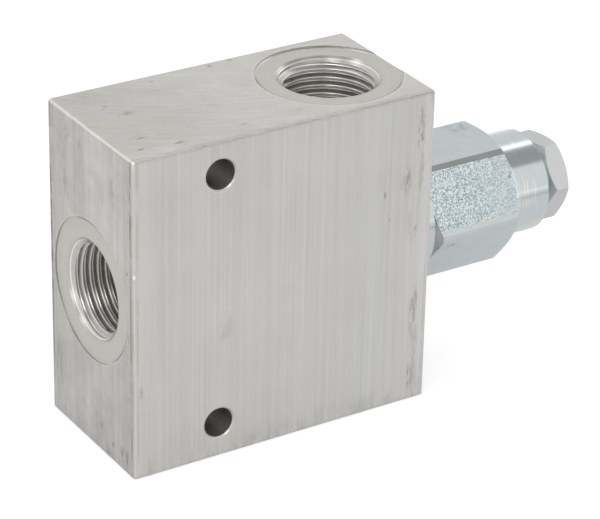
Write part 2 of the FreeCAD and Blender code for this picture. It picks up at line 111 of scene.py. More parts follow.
class Value:
    """A number on a shader's socket. Arithmetic on it adds Math nodes."""

    def __init__(self, shader, socket):
        self.shader = shader
        self.socket = socket

    def maths(self, operation, *values):
        inputs = dict(enumerate((self, *values)))
        return self.shader.node("ShaderNodeMath", {"operation": operation}, inputs)

    def __add__(self, other):
        return self.maths("ADD", other)

    def __radd__(self, other):
        return self.maths("ADD", other)

    def __sub__(self, other):
        return self.maths("SUBTRACT", other)

    def __rsub__(self, other):
        return self.maths("MULTIPLY_ADD", -1.0, other)

    def __mul__(self, other):
        return self.maths("MULTIPLY", other)

    def __truediv__(self, other):
        return self.maths("DIVIDE", other)

    def __abs__(self):
        return self.maths("ABSOLUTE")

    def least(self, other):
        return self.maths("MINIMUM", other)

    def most(self, other):
        return self.maths("MAXIMUM", other)

    def sine(self):
        return self.maths("SINE")

    def cosine(self):
        return self.maths("COSINE")

    def fraction(self):
        return self.maths("FRACT")

    def root(self):
        return self.maths("SQRT")

    def angle_from(self, other):
        """Angle of the point (other, self), from the first's direction."""
        return self.maths("ARCTAN2", other)

    def ramp(self, start, end, low=0.0, high=1.0):
        """Smooth step from low to high as the value goes from start to end."""
        return self.shader.node(
            "ShaderNodeMapRange", {"interpolation_type": "SMOOTHSTEP"},
            {"Value": self, "From Min": start, "From Max": end, "To Min": low, "To Max": high},
        )

    def band(self, middle, half, soft):
        """1 within half of the middle, falling to 0 over soft on each side."""
        return abs(self - middle).ramp(half + soft, half)


class Shader:
    """The nodes of one material or of the world."""

    def __init__(self, tree):
        self.tree = tree

    def node(self, kind, settings=None, inputs=None, output=None):
        """Add a node: its settings first, then the values or links of its sockets."""
        made = self.tree.nodes.new(kind)
        for name, value in (settings or {}).items():
            setattr(made, name, value)
        for name, value in (inputs or {}).items():
            socket = self.socket(made.inputs, name)
            if isinstance(value, Value):
                self.tree.links.new(value.socket, socket)
            else:
                socket.default_value = value
        found = made.outputs[0] if output is None else self.socket(made.outputs, output)
        return Value(self, found)

    def socket(self, sockets, name):
        """The socket with this number, identifier or name."""
        if isinstance(name, int):
            return sockets[name]
        return next(s for s in sockets if name in (s.identifier, s.name))

    def coordinates(self):
        return self.node("ShaderNodeTexCoord", output="Object")

    def place(self):
        """Object coordinates: the vector, then x, y and z."""
        vector = self.coordinates()
        return (vector, *self.parts(vector))

    def parts(self, vector):
        """The vector's x, y and z."""
        return [self.node("ShaderNodeSeparateXYZ", None, {0: vector}, i) for i in range(3)]

    def joined(self, x, y=0.0, z=0.0):
        """The vector with these parts."""
        return self.node("ShaderNodeCombineXYZ", None, {"X": x, "Y": y, "Z": z})

    def vector_maths(self, operation, first, second):
        inputs = {0: first, 1: second}
        return self.node("ShaderNodeVectorMath", {"operation": operation}, inputs)

    def stretched(self, vector, scale, move=(0, 0, 0)):
        """The vector scaled by its own factor along each axis."""
        return self.node(
            "ShaderNodeMapping", None, {"Vector": vector, "Scale": scale, "Location": move}
        )

    def noise(self, vector, scale=1.0, detail=2.0, rough=0.5):
        inputs = {"Vector": vector, "Scale": scale, "Detail": detail, "Roughness": rough}
        return self.node("ShaderNodeTexNoise", None, inputs, "Fac")

    def cells(self, vector, scale):
        """Distance from the nearest of some scattered points."""
        inputs = {"Vector": vector, "Scale": scale}
        return self.node("ShaderNodeTexVoronoi", None, inputs, "Distance")

    def mix(self, mask, first, second):
        """The first colour where the mask is 0, the second where it is 1."""
        first, second = [c if isinstance(c, Value) else (*c, 1.0) for c in (first, second)]
        return self.node(
            "ShaderNodeMix", {"data_type": "RGBA"},
            {"Factor_Float": mask, "A_Color": first, "B_Color": second}, "Result_Color",
        )

    def tinted(self, colour, factor):
        """The colour with its brightness multiplied by a value."""
        return self.vector_maths("MULTIPLY", colour, self.joined(factor, factor, factor))

    def bump(self, height, distance):
        return self.node("ShaderNodeBump", None, {"Height": height, "Distance": distance})


def finish_material(name, build, **fixed):
    """A material whose nodes are made by build(shader), which returns its varying sockets."""
    material = bpy.data.materials.new(name)
    material.use_nodes = True
    shader = Shader(material.node_tree)
    surface = material.node_tree.nodes["Principled BSDF"]
    for socket, value in fixed.items():
        surface.inputs[socket.replace("_", " ")].default_value = value
    for socket, value in build(shader).items():
        material.node_tree.links.new(value.socket, surface.inputs[socket])
    return material


def dress(material, *names):
    """Give CAD pieces this material."""
    for name in names:
        slots = nodes[name].data.materials
        slots.clear()
        slots.append(material)


def linked(name, data):
    """A new object with this data, in the scene."""
    made = bpy.data.objects.new(name, data)
    bpy.context.scene.collection.objects.link(made)
    return made


def round_axis(y, z, middle_y, middle_z):
    """Distance from a line along X."""
    across = y - middle_y
    up = z - middle_z
    return (across * across + up * up).root()


class BlockSettings(bpy.types.PropertyGroup):
    """Looks of the drawn aluminium bar."""

    aluminium: bpy.props.FloatVectorProperty(
        name="Aluminium", description="Colour of the raw drawn bar",
        subtype="COLOR", size=3, min=0, max=1, default=(0.60, 0.590, 0.568),
    )
    cool: bpy.props.FloatVectorProperty(
        name="Cool sheen", description="Bluish cast of the drawn faces in places",
        subtype="COLOR", size=3, min=0, max=1, default=(0.595, 0.594, 0.592),
    )
    warm: bpy.props.FloatVectorProperty(
        name="Warm lines", description="Slightly yellow cast of some drawing lines",
        subtype="COLOR", size=3, min=0, max=1, default=(0.61, 0.60, 0.555),
    )
    cut: bpy.props.FloatVectorProperty(
        name="Cut thread", description="Freshly cut aluminium of the ports' threads",
        subtype="COLOR", size=3, min=0, max=1, default=(0.67, 0.665, 0.645),
    )
    deep: bpy.props.FloatVectorProperty(
        name="Deep thread", description="Duller, brownish metal further down the ports",
        subtype="COLOR", size=3, min=0, max=1, default=(0.66, 0.625, 0.58),
    )
    machined: bpy.props.FloatVectorProperty(
        name="Machined", description="Turned spotfaces and bores",
        subtype="COLOR", size=3, min=0, max=1, default=(0.60, 0.582, 0.545),
    )
    stain: bpy.props.FloatVectorProperty(
        name="Stain", description="Colour of the faint brown stains on the sawn face",
        subtype="COLOR", size=3, min=0, max=1, default=(0.585, 0.55, 0.45),
    )
    line_width: bpy.props.FloatProperty(
        name="Drawing lines", description="Spacing of the fine lines left by the die",
        subtype="DISTANCE", unit="LENGTH", default=0.49 * mm, min=0.05 * mm,
    )


class ThreadSettings(bpy.types.PropertyGroup):
    """Sizes of the ports' threads."""

    port_pitch: bpy.props.FloatProperty(
        name="Port pitch", description="Pitch of the G 1/2 threads",
        subtype="DISTANCE", unit="LENGTH", default=1.814 * mm,
    )
    pilot_pitch: bpy.props.FloatProperty(
        name="Pilot pitch", description="Pitch of the G 1/4 thread",
        subtype="DISTANCE", unit="LENGTH", default=1.337 * mm,
    )
    screw_pitch: bpy.props.FloatProperty(
        name="Screw pitch", description="Pitch of the adjusting screw",
        subtype="DISTANCE", unit="LENGTH", default=1.5 * mm,
    )
    turn_steps: bpy.props.IntProperty(
        name="Steps", description="Faces round one turn of a thread", default=72, min=24,
    )
    start: bpy.props.FloatProperty(
        name="Start", description="Where round the mouth a thread's groove opens",
        subtype="ANGLE", unit="ROTATION", default=math.radians(150),
    )


class PlatingSettings(bpy.types.PropertyGroup):
    """Looks of the plated cartridge and of the pieces inside."""

    zinc: bpy.props.FloatVectorProperty(
        name="Zinc", description="Bright bluish zinc plating",
        subtype="COLOR", size=3, min=0, max=1, default=(0.60, 0.655, 0.668),
    )
    straw: bpy.props.FloatVectorProperty(
        name="Straw", description="Faint yellow cast of the passivation",
        subtype="COLOR", size=3, min=0, max=1, default=(0.66, 0.665, 0.60),
    )
    etch: bpy.props.FloatVectorProperty(
        name="Etch", description="Blue grey between the etched flat's bright veins",
        subtype="COLOR", size=3, min=0, max=1, default=(0.44, 0.54, 0.575),
    )
    nut: bpy.props.FloatVectorProperty(
        name="Nut", description="Satin zinc of the locknut",
        subtype="COLOR", size=3, min=0, max=1, default=(0.60, 0.615, 0.62),
    )
    warm_nut: bpy.props.FloatVectorProperty(
        name="Warm nut", description="Warmer patches of the satin zinc",
        subtype="COLOR", size=3, min=0, max=1, default=(0.625, 0.61, 0.575),
    )
    oxide: bpy.props.FloatVectorProperty(
        name="Black oxide", description="Blackened steel of the adjusting screw",
        subtype="COLOR", size=3, min=0, max=1, default=(0.05, 0.051, 0.055),
    )
    steel: bpy.props.FloatVectorProperty(
        name="Ground steel", description="Hardened and ground steel inside",
        subtype="COLOR", size=3, min=0, max=1, default=(0.50, 0.51, 0.53),
    )
    wire: bpy.props.FloatVectorProperty(
        name="Spring wire", description="Dark grey wire of the springs",
        subtype="COLOR", size=3, min=0, max=1, default=(0.23, 0.23, 0.245),
    )
    rubber: bpy.props.FloatVectorProperty(
        name="Rubber", description="Nitrile rubber of the seals",
        subtype="COLOR", size=3, min=0, max=1, default=(0.018, 0.018, 0.019),
    )
    ptfe: bpy.props.FloatVectorProperty(
        name="Backup rings", description="Skived white plastic of the backup rings",
        subtype="COLOR", size=3, min=0, max=1, default=(0.80, 0.80, 0.77),
    )
    grain: bpy.props.FloatProperty(
        name="Grain", description="Size of the pits on the hexagon's front flat",
        subtype="DISTANCE", unit="LENGTH", default=0.30 * mm, min=0.05 * mm,
    )


class StudioSettings(bpy.types.PropertyGroup):
    """Places and sizes of the camera and the lamp."""

    lens: bpy.props.FloatProperty(
        name="Lens", description="Focal length on a 36 mm sensor", unit="CAMERA", default=172.65,
    )
    azimuth: bpy.props.FloatProperty(
        name="Azimuth", description="Camera's direction round the valve",
        subtype="ANGLE", unit="ROTATION", default=math.radians(-32.595),
    )
    elevation: bpy.props.FloatProperty(
        name="Elevation", description="Camera's height above the horizon",
        subtype="ANGLE", unit="ROTATION", default=math.radians(27.018),
    )
    roll: bpy.props.FloatProperty(
        name="Roll", description="Camera's turn about its own line of sight",
        subtype="ANGLE", unit="ROTATION", default=math.radians(1.306),
    )
    camera_place: bpy.props.FloatVectorProperty(
        name="Camera", description="Camera's position", subtype="TRANSLATION",
        unit="LENGTH", size=3, default=(-0.274263, -0.451539, 0.302934),
    )
    lamp_place: bpy.props.FloatVectorProperty(
        name="Lamp", description="Position of the soft lamp", subtype="TRANSLATION",
        unit="LENGTH", size=3, default=(-0.5, -0.6, 0.9),
    )
    lamp_size: bpy.props.FloatProperty(
        name="Lamp size", description="Side of the square lamp",
        subtype="DISTANCE", unit="LENGTH", default=0.5,
    )
    lamp_power: bpy.props.FloatProperty(
        name="Lamp power", description="Power of the lamp in watts", unit="POWER", default=4.0,
    )


# Scuffs that stand out on the block: centre and reach in mm, and how much darker they are
top_scuffs = [
    ((-7.2, -12.1, 70.4), (1.6, 0.9, 1.0), 0.36),
    ((5.4, -12.0, 70.4), (2.3, 1.1, 1.0), 0.5),
    ((-28.0, -7.6, 70.4), (3.4, 1.4, 1.0), 0.4),
    ((-25.6, 3.4, 70.4), (3.2, 1.5, 1.0), 0.34),
    ((-27.5, 7.9, 70.4), (2.0, 1.6, 1.0), 0.36),
    ((-13.2, 15.9, 70.4), (0.6, 2.1, 1.0), 0.5),
    ((-12.4, 15.2, 70.4), (1.0, 1.6, 1.0), 0.7),
    ((1.4, 16.4, 70.4), (0.9, 1.8, 1.0), 0.5),
    ((6.5, 16.8, 70.4), (1.1, 1.4, 1.0), 0.4),
    ((-30.0, -13.0, 70.4), (2.6, 0.9, 1.0), 0.45),
    ((-22.5, -13.6, 70.4), (2.0, 0.8, 1.0), 0.4),
]
front_scuffs = [
    ((23.4, -17.5, 49.7), (0.4, 1.0, 1.2), 0.4),
    ((28.6, -17.5, 52.5), (1.8, 1.0, 5.5), 0.34),
    ((31.8, -17.5, 62.5), (1.3, 1.0, 7.5), 0.5),
    ((30.6, -17.5, 41.5), (1.7, 1.0, 5.5), 0.3),
    ((31.4, -17.5, 21.0), (1.3, 1.0, 9.0), 0.3),
    ((31.0, -17.5, 5.5), (1.5, 1.0, 4.0), 0.42),
    ((-31.2, -17.5, 25.2), (0.8, 1.0, 3.0), 0.42),
    ((-33.4, -17.5, 19.6), (0.7, 1.0, 2.0), 0.34),
    ((-31.2, -17.5, 15.6), (0.9, 1.0, 2.4), 0.36),
    ((-14.0, -17.5, 29.0), (2.5, 1.0, 5.0), 0.12),
]
left_scuffs = [
    ((-35.0, -13.6, 3.2), (1.0, 3.0, 3.4), 0.42),
    ((-35.0, 10.5, 56.0), (1.0, 3.0, 8.0), 0.22),
    ((-35.0, -3.0, 6.0), (1.0, 3.0, 5.0), 0.22),
    ((-35.0, 14.0, 12.0), (1.0, 2.4, 9.0), 0.26),
    ((-35.0, 16.5, 38.0), (1.0, 0.55, 34.0), 0.5),
    ((-35.0, -16.4, 58.0), (1.0, 0.5, 12.0), 0.45),
    ((-35.0, 9.0, 66.0), (1.0, 2.0, 3.5), 0.3),
    ((-35.0, -9.5, 62.0), (1.0, 1.6, 7.0), 0.26),
    ((-35.0, 4.0, 64.0), (1.0, 1.4, 5.0), 0.22),
]


def near(shader, vector, centre, reach):
    """1 at a point, falling to 0 over a reach along each axis; all in millimetres."""
    offset = shader.vector_maths("SUBTRACT", vector, [value * mm for value in centre])
    scaled = shader.vector_maths("DIVIDE", offset, [value * mm for value in reach])
    length = shader.node("ShaderNodeVectorMath", {"operation": "LENGTH"}, {0: scaled}, "Value")
    return length.ramp(1.0, 0.2)


def block_zones(x, y, z):
    """Masks of the block's sawn faces and machined ports, and the distance from a port."""
    soft = 0.1 * mm
    skin = 0.12 * mm
    across_load = round_axis(y, z, load[1], load[2])
    across_valve = round_axis(x, y, valve[0], valve[1])
    across_pilot = round_axis(x, y, pilot[0], pilot[1])
    top = z.ramp(block_high.z - 2.5 * soft, block_high.z - soft)
    base = z.ramp(block_low.z + 2.5 * soft, block_low.z + soft)
    load_port = across_load.ramp(spotface_radius + soft, spotface_radius)
    load_port = load_port * x.ramp(-10 * mm, -12 * mm)
    load_port = load_port * x.ramp(block_low.x + skin, block_low.x + 2 * skin)
    valve_port = across_valve.ramp(spotface_radius + soft, spotface_radius)
    valve_port = valve_port * z.ramp(45 * mm, 48 * mm)
    valve_port = valve_port * z.ramp(block_high.z - skin, block_high.z - 2 * skin)
    pilot_port = across_pilot.ramp(pilot_spotface_radius + soft, pilot_spotface_radius)
    pilot_port = pilot_port * z.ramp(20 * mm, 18 * mm)
    pilot_port = pilot_port * z.ramp(block_low.z + skin, block_low.z + 2 * skin)
    inside = abs(y).ramp(block_high.y - soft / 2, block_high.y - 1.5 * soft)
    inside = inside * x.ramp(block_high.x, block_high.x - soft)
    turned = load_port.most(valve_port).most(pilot_port) * inside
    return top.most(base), turned, across_load.least(across_valve)


def bolt_rim(x, z):
    """Distance from the nearer mounting hole's middle, on the front and back faces."""
    holes = mounts["mounting_holes"]
    spread = holes["dims"]["spacing_y_mm"] / 2 * mm
    along = x - holes["pos_m"][0]
    up = abs(z - holes["pos_m"][2]) - spread
    return (along * along + up * up).root()


class BarSurface:
    """The block's places, zones and noises, and the marks that its finish is made of.

    A tone multiplies the metal's brightness, and a mask goes from 0 to 1.
    """

    def __init__(self, shader, line_width):
        self.shader = shader
        self.vector, self.x, self.y, self.z = shader.place()
        self.sawn, self.turned, self.across_port = block_zones(self.x, self.y, self.z)
        self.drawn = (1 - self.sawn) * (1 - self.turned)
        self.left = self.x.ramp(block_low.x + 0.3 * mm, block_low.x + 0.1 * mm) * self.drawn
        self.right = self.x.ramp(0 * mm, 20 * mm) * (1 - self.left)
        self.ends = (self.x - block_low.x).least(block_high.x - self.x)
        self.sides = (self.y - block_low.y).least(block_high.y - self.y)
        self.levels = (self.z - block_low.z).least(block_high.z - self.z)
        self.upright_edge = self.ends.most(self.sides)
        density = 1 / line_width
        self.line_angle = (self.x + self.y) * (2 * math.pi * density)
        self.lines = self.noise((density, density, 9), 3, 0.65)
        self.hairs = self.noise((2.4 * density, 2.4 * density, 30), 2, 0.5, (3, 7, 1))
        self.broad = self.noise((260, 260, 6), 3, 0.6)
        self.ragged = self.noise((330, 330, 85), 4, 0.7, (1, 2, 3))
        self.cloud = shader.noise(self.vector, 55, 4, 0.6)
        self.fine_cloud = shader.noise(self.vector, 240, 3, 0.6)
        self.grain = shader.noise(self.vector, 1500, 2, 0.6)

    def noise(self, scale, detail, rough=0.5, move=(0, 0, 0)):
        """Noise with its own scale along each axis."""
        stretched = self.shader.stretched(self.vector, scale, move)
        return self.shader.noise(stretched, 1, detail, rough)

    def drawn_tone(self):
        """Lines that the die leaves along the bar, blotchier on the left face, with painted shade
        that darkens the left face, most towards its bottom.
        """
        left = self.left
        ribbed = self.noise((60, 60, 35), 1, 0.5, (5, 5, 5)).ramp(0.4, 0.65)
        ribs = (self.line_angle + self.lines * 2.5).sine()
        tone = 1 + (self.lines - 0.5) * (0.25 + left * 0.2) + (self.hairs - 0.5) * 0.16
        tone = tone + (self.broad - 0.5) * (0.16 + left * 0.2) + (self.grain - 0.5) * 0.08
        tone = tone + ribs * ribbed * 0.022 + (self.fine_cloud - 0.5) * left * 0.34
        # Painted shade: the left face is drawn 9 % darker, and up to 17 % darker towards its
        # bottom.
        return tone * (1.045 - left * self.z.ramp(56 * mm, 12 * mm, 0.09, 0.17))

    def saw_marks(self):
        """Arcs of the saw's teeth, and a mask of the places that it tore."""
        across = self.x - 60 * mm
        along = self.y - 150 * mm
        from_saw = (across * across + along * along).root()
        swept = self.shader.joined(from_saw * 1100, self.x * 90)
        arcs = self.shader.noise(swept, 1, 4, 0.65)
        torn = self.shader.stretched(swept, (1.2, 2.2, 1), (4, 9, 0))
        torn = self.shader.noise(torn, 1, 3, 0.7).ramp(0.58, 0.72)
        return arcs, torn * self.x.ramp(0 * mm, -24 * mm, 0.25, 1.0)

    def sawn_tone(self, arcs, torn):
        """The sawn top and base, lighter towards the valve port."""
        tone = 0.955 + (arcs - 0.5) * 0.34 + (self.grain - 0.5) * 0.16 - torn * 0.2
        tone = tone + (self.fine_cloud - 0.5) * 0.12
        scrub = self.y.ramp(-12 * mm, -16.5 * mm) * self.x.ramp(-13 * mm, -20 * mm)
        tone = tone + scrub * self.cloud.ramp(0.4, 0.6) * 0.08
        return tone + self.x.ramp(-24 * mm, 0 * mm) * 0.075

    def turned_rings(self):
        """Faint rings of the spotface cutter."""
        return self.shader.noise(self.shader.joined(self.across_port * 700), 1, 2)

    def rubbed(self):
        """Mask of the grey rub marks beside the upright edges and along the base."""
        wander = self.upright_edge + (self.ragged - 0.5) * 1.6 * mm
        wander = wander.band(2.9 * mm, 0.2 * mm, 0.7 * mm)
        wander = wander * self.ragged.ramp(0.46, 0.62) * self.right
        pressed = self.upright_edge + (self.lines - 0.5) * 0.5 * mm
        pressed = pressed.band(1.0 * mm, 0.1 * mm, 0.35 * mm)
        pressed = pressed * self.shader.noise(self.vector, 150, 3).ramp(0.36, 0.56)
        corner = self.upright_edge.ramp(4.5 * mm, 1.5 * mm) * self.fine_cloud.ramp(0.45, 0.65)
        low = self.z.ramp(6 * mm, 0.5 * mm) * self.ragged.ramp(0.45, 0.62)
        marks = wander.most(pressed * (0.45 + self.left * 0.55))
        return marks.most(corner * self.left * 0.5).most(low * 0.6) * self.drawn

    def worn_and_highlit_edges(self):
        """Mask of the edges that handling has polished, which also carry a painted highlight, and
        of those of the left face, which carry a stronger painted highlight.
        """
        end_edge = self.x.ramp(block_low.x + 1.0 * mm, block_low.x + 0.3 * mm)
        to_edge = self.upright_edge.least(self.ends.most(self.levels))
        to_edge = to_edge.least(self.sides.most(self.levels))
        worn = to_edge + (self.cloud - 0.5) * 0.5 * mm - end_edge * 0.12 * mm
        worn = worn.ramp(0.42 * mm, 0.14 * mm) * (1 - self.turned)
        return worn, end_edge * worn

    def edge_tone(self, rubbed):
        """Plain margins, rub marks, the rolled front edge of the top, and its burr."""
        margin = self.upright_edge.ramp(2.6 * mm, 2.1 * mm) * self.drawn
        rolled = self.y - block_low.y + (self.ragged - 0.5) * 1.4 * mm
        rolled = rolled.band(0.9 * mm, 0.1 * mm, 0.4 * mm) * self.sawn
        burr = (self.levels + (self.ragged - 0.5) * 0.9 * mm).ramp(1.0 * mm, 0.35 * mm)
        tone = (1 + margin * (0.02 + self.right * 0.03)) * (1 - rubbed * (0.24 + self.left * 0.12))
        return tone * (1 - rolled * 0.13) * (1 - burr * self.drawn * 0.08)

    def scuff_tone(self):
        """Single scuffs, broken up into short strokes, and a few dark specks."""
        strokes = self.noise((1000, 1000, 300), 3, 0.65)
        top_strokes = self.noise((300, 1000, 1000), 3, 0.65)
        strokes = (strokes + (top_strokes - strokes) * self.sawn).ramp(0.44, 0.6)
        specks = self.shader.cells(self.shader.stretched(self.vector, (1, 1, 0.6)), 170)
        specks = specks.ramp(0.08, 0.04)
        specks = specks * self.shader.noise(self.vector, 130, 1).ramp(0.54, 0.6)
        tone = 1 - specks * 0.45 * (1 - self.turned)
        for centre, reach, depth in top_scuffs + front_scuffs + left_scuffs:
            tone = tone * (1 - near(self.shader, self.vector, centre, reach) * strokes * depth)
        return tone

    def metal_colour(self, looks, rubbed):
        """Aluminium with its stains, machined spotfaces and cool and warm casts."""
        stains = self.fine_cloud.ramp(0.42, 0.62) * self.cloud.ramp(0.4, 0.6) * self.sawn
        stains = stains * self.x.ramp(-12 * mm, -24 * mm) * self.y.ramp(-15 * mm, -9 * mm)
        rust = rubbed * self.x.ramp(0 * mm, -20 * mm) * (1 - self.left)
        stained = (stains * 0.45 + rust).least(1.0)
        cool = self.broad.ramp(0.35, 0.65) * self.x.ramp(-15 * mm, 25 * mm, 0.2, 1.0)
        warm = self.lines.ramp(0.5, 0.7) * self.drawn * 0.5
        base = self.shader.mix(stained, looks.aluminium, looks.stain)
        base = self.shader.mix(self.turned, base, looks.machined)
        base = self.shader.mix(cool * self.drawn, base, looks.cool)
        return self.shader.mix(warm, base, looks.warm)


def drawn_aluminium(looks):
    """Raw drawn bar: lines along its length, sawn ends, turned spotfaces, scuffs and stains."""

    def build(shader):
        bar = BarSurface(shader, looks.line_width)
        sawn, turned, left = bar.sawn, bar.turned, bar.left
        arcs, torn = bar.saw_marks()
        rings = bar.turned_rings()
        drawn_tone = bar.drawn_tone()
        turned_tone = 0.935 + (rings - 0.5) * 0.16 + (bar.fine_cloud - 0.5) * 0.08
        tone = drawn_tone + (bar.sawn_tone(arcs, torn) - drawn_tone) * sawn
        tone = tone + (turned_tone - tone) * turned
        tone = tone * (1 + (bar.cloud - 0.5) * (0.16 + left * 0.2))

        rubbed = bar.rubbed()
        worn, painted_left_edge_highlight = bar.worn_and_highlit_edges()
        tone = tone * bar.edge_tone(rubbed) * bar.scuff_tone()
        # Painted highlight: the polished edges are drawn 6 % lighter, the left face's edges 10 %
        # more, and its top edge up to 40 % more.
        tone = tone * (1 + worn * 0.06 + painted_left_edge_highlight * bar.z.ramp(68 * mm, 70 * mm, 0.1, 0.4))
        # A nick on the front left edge: a real dent in the bump and a smoother finish, with a
        # painted glint that draws it 60 % lighter.
        nick_and_glint = near(shader, bar.vector, (-34.9, -17.4, 45.6), (0.7, 0.7, 0.8))
        tone = tone * (1 + nick_and_glint * 0.6)

        rolled_rim = bar.across_port.ramp(spotface_radius - 0.9 * mm, spotface_radius) * turned
        # Painted highlight: a thin ring just outside each spotface is drawn 12 % lighter.
        painted_rim_highlight = bar.across_port.band(spotface_radius + 0.15 * mm, 0.05 * mm, 0.15 * mm)
        painted_rim_highlight = painted_rim_highlight * bar.ends.least(bar.levels).ramp(0.3 * mm, 0.1 * mm) * (1 - turned)
        bolt = bolt_rim(bar.x, bar.z)
        # The mounting holes' mouths: a real rounding in the bump and a smoother finish, with a
        # painted highlight that draws the rim 12 % lighter.
        rounded_rim_and_highlight = bolt.ramp(bolt_radius + 0.45 * mm, bolt_radius)
        rounded_rim_and_highlight = rounded_rim_and_highlight * bar.sides.ramp(0.3 * mm, 0.1 * mm)
        # Painted shade: the metal inside the mounting holes is drawn down to 70 %.
        painted_hole_shade = bolt.ramp(bolt_radius - 0.1 * mm, bolt_radius - 0.02 * mm, 0.7, 1.0)
        tone = tone * (1 + painted_rim_highlight * 0.12) * (1 + rounded_rim_and_highlight * 0.12) * painted_hole_shade

        rough = 0.42 + (bar.lines - 0.5) * bar.drawn * 0.2 + (bar.cloud - 0.5) * 0.12
        rough = rough - turned * 0.15 - worn * 0.12 - nick_and_glint * 0.2 - rounded_rim_and_highlight * 0.12
        relief = (bar.lines + bar.hairs * 0.4) * (1 - sawn)
        relief = (relief + (arcs + bar.grain * 0.4 - torn) * sawn) * (1 - turned)
        relief = relief + rings * turned * 0.3 + rolled_rim * 11
        relief = relief - rubbed * 0.5 + nick_and_glint * 6 - rounded_rim_and_highlight * 3
        return {
            "Base Color": shader.tinted(bar.metal_colour(looks, rubbed), tone * 1.03),
            "Roughness": rough,
            "Normal": shader.bump(relief, 0.04 * mm),
        }

    return finish_material("drawn_aluminium", build, Metallic=1.0)


def cut_aluminium(looks):
    """Cut threads with painted highlights on their roots and painted shade on their flanks,
    browner further down the ports.
    """

    def build(shader):
        vector, x, y, z = shader.place()
        streaks = shader.noise(vector, 700, 3, 0.6)
        chatter = shader.noise(vector, 2200, 2, 0.5)
        valve_side = x.ramp(2 * mm, 4 * mm)
        depth = (x - load[0]).ramp(2 * mm, 11 * mm) * x.ramp(2 * mm, 0 * mm)
        depth = depth.most((valve[2] - z).ramp(3 * mm, 11 * mm) * valve_side)
        around_load = round_axis(y, z, load[1], load[2])
        around_valve = round_axis(x, y, valve[0], valve[1])
        around = around_load + (around_valve - around_load) * valve_side
        tool_lines = shader.noise(shader.joined(around * 5200), 1, 2, 0.6)
        # Painted highlight on the thread roots, drawn 40 % lighter, and painted shade on the
        # flanks, drawn 14 % darker.
        painted_root_highlight = around.ramp(10.2 * mm, 10.38 * mm)
        painted_flank_shade = around.band(middle=9.9 * mm, half=0.3 * mm, soft=0.15 * mm)
        tone = 1 + (streaks - 0.5) * 0.2 + (tool_lines - 0.5) * 0.7 + painted_root_highlight * 0.4 - painted_flank_shade * 0.14
        base = shader.mix(depth, looks.cut, looks.deep)
        return {
            "Base Color": shader.tinted(base, tone),
            "Roughness": 0.22 + streaks * 0.2,
            "Normal": shader.bump(streaks + chatter * 0.3 + tool_lines * 0.8, 0.03 * mm),
        }

    return finish_material("cut_aluminium", build, Metallic=1.0)


def etched_flat(turn, across):
    """Mask of the hexagon's front flat, short of its lower edge."""
    facing = turn.band(etched_turn, math.radians(26.5), math.radians(1.5))
    reach = (turn - etched_turn).cosine() * across
    on_flat = reach.ramp(hex_reach - 0.12 * mm, hex_reach - 0.05 * mm)
    on_flat = on_flat * reach.ramp(hex_reach + 0.12 * mm, hex_reach + 0.05 * mm)
    return facing * on_flat * turn.ramp(math.radians(1.5), math.radians(5))


